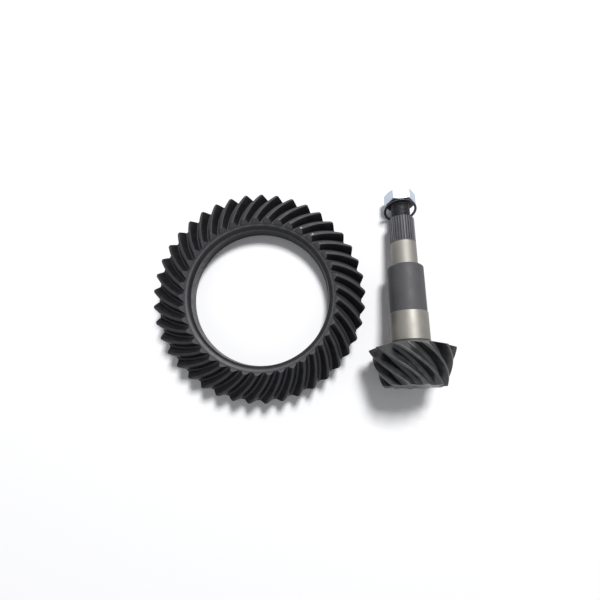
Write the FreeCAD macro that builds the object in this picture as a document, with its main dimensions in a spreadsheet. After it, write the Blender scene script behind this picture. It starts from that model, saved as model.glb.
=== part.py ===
"""Ring and pinion gear set: a spiral bevel ring gear lying on its back face, and its pinion
lying beside it with a nut and a loose spacer ring on the threaded end.

Millimetres, +Z up. The origin is the centre of the ring gear's bolt circle on its back face.
The pinion, its nut and the spacer ring are modelled about +Z, with the pinion's toe face at
height 0 and its threaded end up, and are then laid down on the surface that the ring rests on.
"""
import FreeCAD, Part
import Sketcher
import math
import os

from FreeCAD import Placement, Rotation, Vector

# Driving sizes in millimetres and degrees
SIZES = {
    # Ring gear: counts and tooth form
    "ring_teeth": 41,
    "ring_first_tip_angle": 2.0,
    "ring_spiral_angle": 35.0,
    "ring_cutter_radius": 80.0,
    "ring_slot_width": 2.6,
    "ring_flank_angle": 20.0,
    "ring_flank_crown": 0.0,
    "ring_root_bevel": 0.8,
    "ring_heel_depth": 12.0,
    "ring_toe_depth": 8.4,
    # Ring gear: blank, as steps inwards and downwards from the heel
    "ring_heel_radius": 123.825,
    "ring_heel_height": 31.0,
    "ring_face_width": 35.325,
    "ring_face_angle": 14.0,
    "ring_back_cone": 17.0,
    "ring_edge_chamfer": 1.5,
    "ring_toe_step": 0.7,
    "ring_toe_drop": 2.4,
    "ring_land_width": 3.3,
    "ring_land_drop": 1.6,
    "ring_bore_step": 2.5,
    "ring_bore_drop": 3.0,
    "ring_bore_chamfer": 0.8,
    # Ring gear: tapped holes in the back face
    "bolt_count": 12,
    "bolt_circle_inset": 23.825,
    "bolt_hole_radius": 5.72,
    "bolt_hole_depth": 19.0,
    "drill_point_angle": 59.0,
    # Pinion: counts and tooth form
    "pinion_teeth": 11,
    "pinion_heel_spiral": 54.0,
    "pinion_toe_spiral": 48.0,
    "pinion_slot_width": 4.0,
    "pinion_flank_angle": 19.0,
    "pinion_flank_crown": 0.45,
    "pinion_root_bevel": 1.2,
    "pinion_heel_depth": 12.0,
    "pinion_toe_depth": 8.6,
    # Pinion: head and shaft
    "pinion_toe_radius": 34.0,
    "pinion_heel_radius": 47.3,
    "head_length": 40.0,
    "back_cone_angle": 17.0,
    "relief_width": 1.2,
    "relief_depth": 0.7,
    "inner_journal_radius": 21.5,
    "inner_journal_length": 34.0,
    "waist_radius": 20.8,
    "waist_length": 55.5,
    "shoulder_chamfer": 1.6,
    "outer_journal_radius": 15.08,
    "outer_journal_length": 30.0,
    "spline_count": 29,
    "spline_radius": 15.0,
    "spline_length": 33.0,
    "spline_groove_depth": 1.3,
    "spline_groove_width": 1.9,
    "spline_floor_width": 0.8,
    "spline_chamfer": 1.3,
    "thread_radius": 11.1,
    "thread_length": 36.0,
    "thread_chamfer": 1.4,
    "centre_drill_radius": 3.4,
    "centre_drill_angle": 30.0,
    # Nut
    "nut_flats": 33.34,
    "nut_height": 15.0,
    "nut_corner_angle": 30.0,
    "nut_face_radius": 15.6,
    "nut_running_gap": 0.05,
    "nut_countersink": 1.0,
    "nut_standoff": 19.5,
    "nut_turn": -8.0,
    # Spacer ring
    "spacer_outer_radius": 20.0,
    "spacer_inner_radius": 17.0,
    "spacer_thickness": 2.2,
    "spacer_edge_chamfer": 0.5,
    "spacer_lean": 22.0,
    "spacer_gap": 0.3,
    # Lay-out on the surface
    "pinion_offset": 171.1,
    "heel_setback": -63.7,
}

# How finely the tooth spaces are lofted, and how far they reach beyond the blank
TRACE_STATIONS = 6
TRACE_OVERRUN = 0.16
TRACE_STEPS = 40
SLOT_OVERSHOOT = 1.0

doc = FreeCAD.newDocument("ring_and_pinion")
sheet = doc.addObject("Spreadsheet::Sheet", "sizes")
for row, (alias, number) in enumerate(SIZES.items(), start=1):
    sheet.set(f"A{row}", alias)
    sheet.set(f"B{row}", str(number))
    sheet.setAlias(f"B{row}", alias)
doc.recompute()


def size(alias):
    """One number of the sheet."""
    return float(sheet.get(alias))


def value_of(expression):
    """The number that an expression on the sheet gives."""
    result = sheet.evalExpression(expression)
    return float(getattr(result, "Value", result))


def on_sheet(expression):
    """The expression with each alias read from the sheet, as another object needs it."""
    words = []
    word = ""
    for letter in expression + " ":
        if letter.isalnum() or letter == "_":
            word += letter
            continue
        words.append("sizes." + word if word in SIZES else word)
        words.append(letter)
        word = ""
    return "".join(words).strip()


def origin_feature(body, role):
    """The body's own origin plane or axis with this role."""
    return next(item for item in body.Origin.OriginFeatures if item.Role == role)


def new_body(name):
    """An empty body."""
    return doc.addObject("PartDesign::Body", name)


def new_sketch(body, name, role):
    """An empty sketch on one of the body's origin planes."""
    sketch = body.newObject("Sketcher::SketchObject", name)
    sketch.AttachmentSupport = [(origin_feature(body, role), "")]
    sketch.MapMode = "FlatFace"
    return sketch


def add_loop(sketch, corners):
    """A closed outline of straight lines, each corner placed by two expressions."""
    places = [Vector(value_of(x), value_of(y), 0) for x, y in corners]
    first = sketch.GeometryCount
    count = len(corners)
    for index in range(count):
        sketch.addGeometry(Part.LineSegment(places[index], places[(index + 1) % count]), False)
    for index in range(count):
        following = first + (index + 1) % count
        sketch.addConstraint(Sketcher.Constraint("Coincident", first + index, 2, following, 1))
    for index, (x, y) in enumerate(corners):
        sizes = (("DistanceX", places[index].x, x), ("DistanceY", places[index].y, y))
        for kind, coordinate, expression in sizes:
            constraint = Sketcher.Constraint(kind, -1, 1, first + index, 1, coordinate)
            number = sketch.addConstraint(constraint)
            sketch.setExpression(f"Constraints[{number}]", on_sheet(expression))


def revolve(body, name, sketch, kind="PartDesign::Revolution"):
    """A full turn of the sketch about the body's own Z axis."""
    feature = body.newObject(kind, name)
    feature.Profile = sketch
    feature.ReferenceAxis = (sketch, ["V_Axis"])
    feature.Angle = 360.0
    doc.recompute()
    return feature


def polar_pattern(body, name, feature, count):
    """Copies of a feature round the body's Z axis."""
    pattern = body.newObject("PartDesign::PolarPattern", name)
    pattern.Originals = [feature]
    pattern.Axis = (origin_feature(body, "Z_Axis"), [""])
    pattern.Angle = 360.0
    pattern.setExpression("Occurrences", on_sheet(count))
    body.Tip = pattern
    doc.recompute()
    return pattern


# Tooth spaces
def polar(radius, height, angle):
    """A point from its radius, height and angle in radians."""
    return Vector(radius * math.cos(angle), radius * math.sin(angle), height)


def between(start, end, share):
    """A point of the axial plane on the line from start to end."""
    return tuple(a + (b - a) * share for a, b in zip(start, end))


def slot_section(origin, side, up, width, height, flank_angle, root_bevel, crown):
    """A tooth space's outline square to its trace: floor, two root bevels, two flanks and a top.

    The crown bends each flank towards the space, so the tooth's own flank is convex.
    """
    slope = math.radians(flank_angle)

    def place(x, y):
        return origin + side * x + up * y

    def flank(low, high):
        if crown == 0:
            return Part.LineSegment(place(*low), place(*high)).toShape()
        inward = -math.copysign(crown * math.cos(slope), low[0] + high[0])
        middle = ((low[0] + high[0]) / 2 + inward, (low[1] + high[1]) / 2 + crown * math.sin(slope))
        return Part.Arc(place(*low), place(*middle), place(*high)).toShape()

    floor = (width / 2 - root_bevel, 0)
    low = (width / 2 + root_bevel * math.sin(slope), root_bevel * math.cos(slope))
    high = (width / 2 + height * math.tan(slope), height)
    far_floor, far_low, far_high = ((-x, y) for x, y in (floor, low, high))
    edges = [Part.LineSegment(place(*far_floor), place(*floor)).toShape()]
    edges.append(Part.LineSegment(place(*floor), place(*low)).toShape())
    edges.append(flank(low, high))
    edges.append(Part.LineSegment(place(*high), place(*far_high)).toShape())
    edges.append(flank(far_high, far_low))
    edges.append(Part.LineSegment(place(*far_low), place(*far_floor)).toShape())
    return Part.Wire(edges)


def slot_solid(heel_tip, heel_root, toe_tip, toe_root, trace, form):
    """One tooth space, lofted along its curved trace from beyond the heel to beyond the toe.

    The four corners are (radius, height) in the axial plane. trace gives the angle about the
    axis at a share of the face from heel to toe, and form holds the section's sizes.
    """

    def root_point(share):
        return polar(*between(heel_root, toe_root, share), trace(share))

    wires = []
    for station in range(TRACE_STATIONS):
        share = -TRACE_OVERRUN + (1 + 2 * TRACE_OVERRUN) * station / (TRACE_STATIONS - 1)
        origin = root_point(share)
        tip = polar(*between(heel_tip, toe_tip, share), trace(share))
        along = (root_point(share + 0.01) - root_point(share - 0.01)).normalize()
        depth = (tip - origin).Length
        up = tip - origin
        up = (up - along * up.dot(along)).normalize()
        side = along.cross(up).normalize()
        wires.append(slot_section(origin, side, up, height=depth + SLOT_OVERSHOOT, **form))
    return Part.makeLoft(wires, True, False)


def slots_round_axis(slot, count):
    """Copies of a tooth space evenly round the Z axis, as one compound."""
    copies = []
    for number in range(int(count)):
        turned = slot.copy()
        turned.rotate(Vector(0, 0, 0), Vector(0, 0, 1), 360.0 * number / count)
        copies.append(turned)
    return Part.makeCompound(copies)


def cut_teeth(name, blank, slots):
    """The blank with its tooth spaces taken out."""
    spaces = doc.addObject("Part::Feature", name + "_tooth_spaces")
    spaces.Shape = slots
    cut = doc.addObject("Part::Cut", name)
    cut.Base = blank
    cut.Tool = spaces
    doc.recompute()
    return cut


# Ring gear
TOE_RADIUS = "ring_heel_radius - ring_face_width"
TOE_BASE_RADIUS = TOE_RADIUS + " - ring_toe_step"
LAND_RADIUS = TOE_BASE_RADIUS + " - ring_land_width"
BORE_RADIUS = LAND_RADIUS + " - ring_bore_step"
TOE_BASE_HEIGHT = "ring_heel_height - ring_toe_drop"
LAND_HEIGHT = TOE_BASE_HEIGHT + " - ring_land_drop"
BORE_HEIGHT = LAND_HEIGHT + " - ring_bore_drop"


def ring_blank():
    """The turned ring: bore, inner land, toe face, dished face cone, back cone and body."""
    body = new_body("ring_blank")
    sketch = new_sketch(body, "ring_section", "XZ_Plane")
    toe_height = "ring_heel_height + ring_face_width * tan(ring_face_angle)"
    body_radius = "ring_heel_radius - ring_back_cone * sin(ring_face_angle)"
    body_height = "ring_heel_height - ring_back_cone * cos(ring_face_angle)"
    add_loop(sketch, [
        (BORE_RADIUS + " + ring_bore_chamfer", "0"),
        (body_radius + " - ring_edge_chamfer", "0"),
        (body_radius, "ring_edge_chamfer"),
        (body_radius, body_height),
        ("ring_heel_radius", "ring_heel_height"),
        (TOE_RADIUS, toe_height),
        (TOE_BASE_RADIUS, TOE_BASE_HEIGHT),
        (LAND_RADIUS, LAND_HEIGHT),
        (BORE_RADIUS, BORE_HEIGHT),
        (BORE_RADIUS, "ring_bore_chamfer"),
    ])
    revolve(body, "ring_turning", sketch)
    return body


def drill_bolt_holes(body):
    """The ring of blind tapped holes in the back face, each with a drill point."""
    sketch = new_sketch(body, "bolt_hole_section", "XZ_Plane")
    sketch.setExpression("AttachmentOffset.Base.x", on_sheet("ring_heel_radius - bolt_circle_inset"))
    add_loop(sketch, [
        ("0", "0"),
        ("bolt_hole_radius", "0"),
        ("bolt_hole_radius", "bolt_hole_depth"),
        ("0", "bolt_hole_depth + bolt_hole_radius / tan(drill_point_angle)"),
    ])
    hole = revolve(body, "bolt_hole", sketch, "PartDesign::Groove")
    polar_pattern(body, "bolt_holes", hole, "bolt_count")


def ring_trace():
    """The angle of a ring tooth space at a share of the face from heel to toe.

    A face-mill cutter leaves an arc of its own radius on the flat crown gear, and that arc is
    wrapped on the pitch cone. The spiral turns counter-clockwise from heel to toe.
    """
    cone = math.radians(90 - size("ring_face_angle"))
    heel = size("ring_heel_radius") / math.sin(cone)
    toe = value_of(TOE_RADIUS) / math.sin(cone)
    mean = (heel + toe) / 2
    cutter = size("ring_cutter_radius")
    spiral = math.radians(size("ring_spiral_angle"))
    centre = math.sqrt(mean**2 + cutter**2 - 2 * mean * cutter * math.sin(spiral))
    half_pitch = math.pi / size("ring_teeth")
    first = math.radians(size("ring_first_tip_angle")) + half_pitch

    def crown_angle(distance):
        return math.acos((distance**2 + centre**2 - cutter**2) / (2 * distance * centre))

    def angle(share):
        distance = heel + (toe - heel) * share
        return first + (crown_angle(distance) - crown_angle(heel)) / math.sin(cone)

    return angle


def ring_gear():
    """The ring gear: turned blank, bolt holes, then the tooth spaces."""
    blank = ring_blank()
    drill_bolt_holes(blank)
    lean = math.radians(size("ring_face_angle"))
    heel_tip = (size("ring_heel_radius"), size("ring_heel_height"))
    rise = size("ring_face_width") * math.tan(lean)
    toe_tip = (value_of(TOE_RADIUS), size("ring_heel_height") + rise)
    heel_depth = size("ring_heel_depth")
    toe_depth = size("ring_toe_depth")
    heel_root = (heel_tip[0] - heel_depth * math.sin(lean), heel_tip[1] - heel_depth * math.cos(lean))
    toe_root = (toe_tip[0] - toe_depth * math.sin(lean), toe_tip[1] - toe_depth * math.cos(lean))
    form = {
        "width": size("ring_slot_width"),
        "flank_angle": size("ring_flank_angle"),
        "root_bevel": size("ring_root_bevel"),
        "crown": size("ring_flank_crown"),
    }
    slot = slot_solid(heel_tip, heel_root, toe_tip, toe_root, ring_trace(), form)
    return cut_teeth("ring_gear", blank, slots_round_axis(slot, size("ring_teeth")))


# Pinion
JOURNAL_START = "head_length + (pinion_heel_radius - inner_journal_radius) * tan(back_cone_angle)"
WAIST_START = JOURNAL_START + " + inner_journal_length"
SHOULDER = WAIST_START + " + waist_length"
SPLINE_START = SHOULDER + " + outer_journal_length"
THREAD_START = SPLINE_START + " + spline_length"
THREAD_END = THREAD_START + " + thread_length"


def pinion_blank():
    """The turned pinion: head, relief groove, two journals, waist, spline land and thread."""
    body = new_body("pinion_blank")
    sketch = new_sketch(body, "pinion_section", "XZ_Plane")
    centre_depth = "centre_drill_radius / tan(centre_drill_angle)"
    add_loop(sketch, [
        ("0", centre_depth),
        ("centre_drill_radius", "0"),
        ("pinion_toe_radius", "0"),
        ("pinion_heel_radius", "head_length"),
        ("inner_journal_radius", JOURNAL_START),
        ("inner_journal_radius - relief_depth", JOURNAL_START + " + relief_depth / 2"),
        ("inner_journal_radius - relief_depth", JOURNAL_START + " + relief_width - relief_depth / 2"),
        ("inner_journal_radius", JOURNAL_START + " + relief_width"),
        ("inner_journal_radius", WAIST_START + " - (inner_journal_radius - waist_radius)"),
        ("waist_radius", WAIST_START),
        ("waist_radius", SHOULDER + " - shoulder_chamfer"),
        ("waist_radius - shoulder_chamfer", SHOULDER),
        ("outer_journal_radius", SHOULDER),
        ("outer_journal_radius", SPLINE_START),
        ("spline_radius", SPLINE_START + " + outer_journal_radius - spline_radius"),
        ("spline_radius", THREAD_START + " - spline_chamfer"),
        ("spline_radius - spline_chamfer", THREAD_START),
        ("thread_radius", THREAD_START),
        ("thread_radius", THREAD_END + " - thread_chamfer"),
        ("thread_radius - thread_chamfer", THREAD_END),
        ("centre_drill_radius", THREAD_END),
        ("0", THREAD_END + " - " + centre_depth),
    ])
    revolve(body, "pinion_turning", sketch)
    return body


def cut_splines(body):
    """The straight splines: one tapered groove along the shaft, repeated round it."""
    sketch = new_sketch(body, "spline_groove_section", "XY_Plane")
    sketch.setExpression("AttachmentOffset.Base.z", on_sheet(SPLINE_START + " + 2 * spline_groove_depth"))
    floor = "spline_radius - spline_groove_depth"
    widening = "(spline_groove_width - spline_floor_width) / 2"
    add_loop(sketch, [
        (floor, "-spline_floor_width / 2"),
        ("spline_radius", "-spline_groove_width / 2"),
        ("spline_radius + spline_groove_depth", "-spline_groove_width / 2 - " + widening),
        ("spline_radius + spline_groove_depth", "spline_groove_width / 2 + " + widening),
        ("spline_radius", "spline_groove_width / 2"),
        (floor, "spline_floor_width / 2"),
    ])
    groove = body.newObject("PartDesign::Pocket", "spline_groove")
    groove.Profile = sketch
    groove.Type = "Length"
    groove.setExpression("Length", on_sheet("spline_length"))
    groove.Reversed = True
    doc.recompute()
    polar_pattern(body, "spline_grooves", groove, "spline_count")


def pinion_trace():
    """The angle of a pinion tooth space at a share of the face from heel to toe.

    The spiral angle on the face cone changes evenly from heel to toe, and the trace is its
    integral. A space faces straight down when the pinion lies on two heel tips.
    """
    heel = size("pinion_heel_radius")
    toe = size("pinion_toe_radius")
    face = math.hypot(heel - toe, size("head_length"))
    heel_spiral = size("pinion_heel_spiral")
    toe_spiral = size("pinion_toe_spiral")

    def turn_rate(share):
        spiral = math.radians(heel_spiral + (toe_spiral - heel_spiral) * share)
        return math.tan(spiral) * face / (heel + (toe - heel) * share)

    def angle(share):
        step = share / TRACE_STEPS
        rates = [turn_rate((number + 0.5) * step) for number in range(TRACE_STEPS)]
        return math.pi / 2 + step * sum(rates)

    return angle


def pinion():
    """The pinion: turned blank, splines, then the tooth spaces of the head."""
    blank = pinion_blank()
    cut_splines(blank)
    heel_tip = (size("pinion_heel_radius"), size("head_length"))
    toe_tip = (size("pinion_toe_radius"), 0.0)
    lean = math.atan2(heel_tip[0] - toe_tip[0], heel_tip[1])
    heel_depth = size("pinion_heel_depth")
    toe_depth = size("pinion_toe_depth")
    heel_root = (heel_tip[0] - heel_depth * math.cos(lean), heel_tip[1] + heel_depth * math.sin(lean))
    toe_root = (toe_tip[0] - toe_depth * math.cos(lean), toe_tip[1] + toe_depth * math.sin(lean))
    form = {
        "width": size("pinion_slot_width"),
        "flank_angle": size("pinion_flank_angle"),
        "root_bevel": size("pinion_root_bevel"),
        "crown": size("pinion_flank_crown"),
    }
    slot = slot_solid(heel_tip, heel_root, toe_tip, toe_root, pinion_trace(), form)
    return cut_teeth("pinion", blank, slots_round_axis(slot, size("pinion_teeth")))


# Nut and spacer ring
def pinion_nut():
    """The hexagon nut, with both ends coned off and a countersunk bore that clears the thread."""
    body = new_body("pinion_nut")
    hexagon = new_sketch(body, "nut_hexagon", "XY_Plane")
    corners = [(f"nut_flats / (2 * cos(30)) * cos({60 * k})", f"nut_flats / (2 * cos(30)) * sin({60 * k})")
               for k in range(6)]
    add_loop(hexagon, corners)
    prism = body.newObject("PartDesign::Pad", "nut_prism")
    prism.Profile = hexagon
    prism.setExpression("Length", on_sheet("nut_height"))
    doc.recompute()
    section = new_sketch(body, "nut_turning_section", "XZ_Plane")
    reach = "nut_flats"
    drop = f"({reach} - nut_face_radius) * tan(nut_corner_angle)"
    bore = "thread_radius + nut_running_gap"
    add_loop(section, [
        ("nut_face_radius", "0"),
        (reach, "0"),
        (reach, drop),
    ])
    add_loop(section, [
        ("nut_face_radius", "nut_height"),
        (reach, "nut_height - " + drop),
        (reach, "nut_height"),
    ])
    add_loop(section, [
        ("0", "0"),
        (bore + " + nut_countersink", "0"),
        (bore, "nut_countersink"),
        (bore, "nut_height - nut_countersink"),
        (bore + " + nut_countersink", "nut_height"),
        ("0", "nut_height"),
    ])
    revolve(body, "nut_turning", section, "PartDesign::Groove")
    return body


def spacer_ring():
    """The loose flat ring, centred on its own middle, with eased edges."""
    body = new_body("spacer_ring")
    sketch = new_sketch(body, "spacer_section", "XZ_Plane")
    add_loop(sketch, [
        ("spacer_inner_radius", "-spacer_thickness / 2"),
        ("spacer_outer_radius", "-spacer_thickness / 2"),
        ("spacer_outer_radius", "spacer_thickness / 2"),
        ("spacer_inner_radius", "spacer_thickness / 2"),
    ])
    turning = revolve(body, "spacer_turning", sketch)
    easing = body.newObject("PartDesign::Chamfer", "spacer_easing")
    easing.Base = (turning, [f"Edge{number + 1}" for number, edge in enumerate(turning.Shape.Edges)
                             if edge.Curve.TypeId == "Part::GeomCircle"])
    easing.setExpression("Size", on_sheet("spacer_edge_chamfer"))
    body.Tip = easing
    doc.recompute()
    return body


# Lay-out
def reach_down(corners, slope):
    """How far below the pinion's toe centre the lowest of these corners is, laid at this slope.

    The corners are in the pinion's own frame, where local +Y points down once it is laid.
    """
    return max(corner.y * math.cos(slope) + corner.z * math.sin(slope) for corner in corners)


def corners_of(shape, distance=0.0, turn=0.0):
    """A shape's corners in the pinion's frame, moved along its axis and turned about it."""
    moved = Placement(Vector(0, 0, distance), Rotation(Vector(0, 0, 1), turn))
    return [moved.multVec(vertex.Point) for vertex in shape.Vertexes]


def shaft_slope(head_corners, nut_corners):
    """The slope in radians at which the pinion lies on its heel tips and the nut's low corner."""
    low, high = 0.0, math.pi / 6
    for _ in range(50):
        slope = (low + high) / 2
        if reach_down(head_corners, slope) > reach_down(nut_corners, slope):
            low = slope
        else:
            high = slope
    return slope


def on_shaft(slope, height, distance, turn=0.0):
    """The placement of a piece on the laid pinion's axis, this far from the toe face.

    height is that of the toe face's centre above the surface.
    """
    beyond_heel = distance - size("head_length")
    base = Vector(
        size("pinion_offset"),
        size("heel_setback") + beyond_heel * math.cos(slope),
        height - distance * math.sin(slope),
    )
    laid = Rotation(Vector(1, 0, 0), -(90 + math.degrees(slope)))
    return Placement(base, laid * Rotation(Vector(0, 0, 1), turn))


def spacer_placement(slope, nut_face):
    """The spacer ring stands on the surface round the thread and leans on the nut's face."""
    lean = math.radians(size("spacer_lean"))
    outer = size("spacer_outer_radius")
    half = size("spacer_thickness") / 2
    height = outer * math.cos(lean) + (half - size("spacer_edge_chamfer")) * math.sin(lean)
    clear = outer * math.sin(lean - slope) + half * math.cos(lean - slope) + size("spacer_gap")
    below_axis = nut_face.z - height
    centre_y = nut_face.y - (clear - below_axis * math.sin(slope)) / math.cos(slope)
    laid = Rotation(Vector(1, 0, 0), -(90 + size("spacer_lean")))
    return Placement(Vector(nut_face.x, centre_y, height), laid)


ring = ring_gear()
pinion_gear = pinion()
nut = pinion_nut()
spacer = spacer_ring()

nut_distance = value_of(THREAD_START) + size("nut_standoff")
head_corners = corners_of(pinion_gear.Shape)
slope = shaft_slope(head_corners, corners_of(nut.Shape, nut_distance, size("nut_turn")))
toe_centre_height = reach_down(head_corners, slope)
pinion_gear.Placement = on_shaft(slope, toe_centre_height, 0.0)
nut.Placement = on_shaft(slope, toe_centre_height, nut_distance, size("nut_turn"))
spacer.Placement = spacer_placement(slope, nut.Placement.Base)
doc.recompute()

for item in doc.Objects:
    if "Invalid" in item.State or "Error" in item.State:
        raise RuntimeError(f"{item.Name} failed: {item.State}")

os.makedirs("parts", exist_ok=True)
for item in (ring, pinion_gear, nut, spacer):
    shape = item.Shape
    if shape.isNull() or not shape.isValid() or len(shape.Solids) != 1:
        raise RuntimeError(f"{item.Label} is not one valid solid")
    shape.exportStep(f"parts/{item.Label}.step")
    print(f"{item.Label}: {shape.Volume / 1000:.2f} cm3, placed at {item.Placement.Base}")
along = nut.Placement.Rotation.multVec(Vector(0, 0, 1))
print(f"shaft axis {along}, slope {math.degrees(slope):.4f} degrees, nut face {nut_distance:.3f}")
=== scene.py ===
"""Looks of the ring and pinion gear set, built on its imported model.

Each gear is grown as a skin: one pitch of it, row by row along the curved teeth, then
repeated round the axis. Sizes are in millimetres in each piece's own frame, about its own
Z axis, and become metres in the row frame when the piece is made.
"""

import logging
import math
from collections.abc import Callable, Iterable, Sequence
from dataclasses import dataclass
from enum import Enum

import bmesh
import bpy
from mathutils import Matrix, Vector


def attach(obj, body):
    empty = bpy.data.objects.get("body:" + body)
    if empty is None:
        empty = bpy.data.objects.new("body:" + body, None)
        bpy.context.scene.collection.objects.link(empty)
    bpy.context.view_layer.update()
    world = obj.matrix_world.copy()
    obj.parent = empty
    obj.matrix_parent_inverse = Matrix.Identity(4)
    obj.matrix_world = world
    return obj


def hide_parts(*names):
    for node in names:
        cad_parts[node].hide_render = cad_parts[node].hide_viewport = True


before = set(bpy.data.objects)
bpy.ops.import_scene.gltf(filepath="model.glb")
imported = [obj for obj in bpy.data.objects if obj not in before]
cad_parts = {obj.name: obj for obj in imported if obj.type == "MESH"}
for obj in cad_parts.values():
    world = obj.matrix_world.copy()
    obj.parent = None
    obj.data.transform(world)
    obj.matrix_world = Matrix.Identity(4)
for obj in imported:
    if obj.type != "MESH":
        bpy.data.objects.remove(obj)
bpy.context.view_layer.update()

MM = 0.001
FULL_TURN = 2 * math.pi
WELD = 0.002
# Facets round a small hole or a thread
HOLE_STEPS = 48
# An outward turn of this much at an edge gives it the full edge colour, which is rubbing wear on the pinion
# and a painted highlight in part on the ring and wholly on the spacer
SHARP_TURN = math.radians(15)
log = logging.getLogger("gear_set")

Point = tuple[float, float]


class Body(Enum):
    """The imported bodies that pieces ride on."""

    GEARS = "gears"
    NUT = "nut"
    SPACER = "spacer"


# Outlines
@dataclass(frozen=True)
class Corner:
    """A corner of an outline, with the radius that rounds it."""

    x: float
    y: float
    radius: float = 0.0


def rounded(corners: Sequence[Corner], segments: int = 3) -> list[Point]:
    """Round the inner corners of an open outline.

    Args:
        corners: The outline's corners in order; the two end ones stay sharp.
        segments: Straight runs in each rounding.

    Returns:
        The outline's points.
    """
    points: list[Point] = [(corners[0].x, corners[0].y)]
    for before, corner, after in zip(corners, corners[1:], corners[2:]):
        here = Vector((corner.x, corner.y))
        if corner.radius == 0:
            points.append((here.x, here.y))
            continue
        to_before = (Vector((before.x, before.y)) - here).normalized()
        to_after = (Vector((after.x, after.y)) - here).normalized()
        half = to_before.angle(to_after) / 2
        middle = here + (to_before + to_after).normalized() * corner.radius / math.sin(half)
        start = here + to_before * corner.radius / math.tan(half) - middle
        end = here + to_after * corner.radius / math.tan(half) - middle
        sweep = math.pi - 2 * half
        for step in range(segments + 1):
            share = step / segments
            arm = start * math.sin((1 - share) * sweep) + end * math.sin(share * sweep)
            point = middle + arm / math.sin(sweep)
            points.append((point.x, point.y))
    points.append((corners[-1].x, corners[-1].y))
    return points


def lerp(start: float, end: float, share: float) -> float:
    """Return the number at a share of the way from start to end."""
    return start + (end - start) * share


def between(start: Point, end: Point, share: float) -> Point:
    """Return the point at a share of the way from start to end."""
    return lerp(start[0], end[0], share), lerp(start[1], end[1], share)


def polar(radius: float, height: float, angle: float) -> Vector:
    """Return the point at a radius, height and angle about the Z axis."""
    return Vector((radius * math.cos(angle), radius * math.sin(angle), height))


# Meshes
class Skin:
    """A surface in millimetres about the Z axis, grown from rows of vertices."""

    def __init__(self) -> None:
        """Start with an empty mesh."""
        self.mesh = bmesh.new()
        self.row: list[bmesh.types.BMVert] = []

    def grow(self, points: Sequence[Vector]) -> None:
        """Add the next row: the last row's edges are extruded and the new vertices placed."""
        if not self.row:
            self.row = [self.mesh.verts.new(point) for point in points]
            for pair in zip(self.row, self.row[1:]):
                self.mesh.edges.new(pair)
            return
        edges = [self.mesh.edges.get(pair) for pair in zip(self.row, self.row[1:])]
        made = bmesh.ops.extrude_edge_only(self.mesh, edges=edges)["geom"]
        fresh = {item for item in made if isinstance(item, bmesh.types.BMVert)}
        row = []
        for old, point in zip(self.row, points):
            across = (edge.other_vert(old) for edge in old.link_edges)
            vertex = next(vertex for vertex in across if vertex in fresh)
            vertex.co = point
            row.append(vertex)
        self.row = row

    def grow_turned(self, outline: Iterable[Point], angles: Sequence[float]) -> None:
        """Add one row for each (radius, height) of an outline, at these angles."""
        for radius, height in outline:
            self.grow([polar(radius, height, angle) for angle in angles])

    def weld(self) -> None:
        """Merge vertices that share a place."""
        bmesh.ops.remove_doubles(self.mesh, verts=self.mesh.verts[:], dist=WELD)
        bmesh.ops.dissolve_degenerate(self.mesh, edges=self.mesh.edges[:], dist=WELD / 10)

    def repeat(self, count: int) -> None:
        """Copy the sector round the Z axis and weld the copies into one surface."""
        everything = self.mesh.verts[:] + self.mesh.edges[:] + self.mesh.faces[:]
        bmesh.ops.spin(
            self.mesh, geom=everything, cent=(0, 0, 0), axis=(0, 0, 1),
            angle=FULL_TURN * (count - 1) / count, steps=count - 1, use_duplicate=True,
        )
        self.weld()

    def lathe(self, outline: Sequence[Point], steps: int, centre: float = 0.0, closed: bool = False,
              lead: float = 0.0) -> list[bmesh.types.BMVert]:
        """Turn an outline a full circle about an axis along Z.

        Args:
            outline: (radius, height) points, the radius from that axis.
            steps: Facets round the axis.
            centre: The axis's distance from the Z axis along X.
            closed: Whether the outline's last point joins its first.
            lead: How far the outline climbs in the turn, for a thread.

        Returns:
            The vertices made.
        """
        before = set(self.mesh.verts)
        verts = [self.mesh.verts.new((centre + radius, 0, height)) for radius, height in outline]
        pairs = list(zip(verts, verts[1:])) + ([(verts[-1], verts[0])] if closed else [])
        edges = [self.mesh.edges.new(pair) for pair in pairs]
        bmesh.ops.spin(
            self.mesh, geom=verts + edges, cent=(centre, 0, 0), axis=(0, 0, 1), angle=FULL_TURN,
            steps=steps, dvec=(0, 0, lead / steps), use_merge=lead == 0,
        )
        return [vertex for vertex in self.mesh.verts if vertex not in before]


@dataclass(frozen=True)
class Thread:
    """A helical thread about an axis along Z, from one height to another.

    The root is where a bolt's thread is deepest, so on a hole it is the larger radius.
    """

    crest: float
    root: float
    pitch: float
    start: float
    end: float
    run_out: float = 1.2
    per_turn: int = HOLE_STEPS

    def cut(self, skin: Skin, centre: float = 0.0) -> None:
        """Add the thread's surface to a skin, closed off level at both ends."""
        flat = 0.1 * self.pitch
        shape = ((0.0, self.root), (flat, self.root), (0.5 * self.pitch - flat, self.crest),
                 (0.5 * self.pitch + flat, self.crest))
        turns = math.ceil((self.end - self.start) / self.pitch) + 1
        outline = [(radius, self.start + (turn - 1) * self.pitch + height)
                   for turn in range(turns) for height, radius in shape]
        verts = skin.lathe(outline, self.per_turn, centre=centre, lead=self.pitch)
        for vertex in verts:
            arm = Vector((vertex.co.x - centre, vertex.co.y))
            height = min(max(vertex.co.z, self.start), self.end)
            room = min(height - self.start, self.end - height) / self.run_out
            radius = lerp(self.root, arm.length, min(1.0, room))
            arm = arm.normalized() * radius
            vertex.co = (centre + arm.x, arm.y, height)


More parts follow.
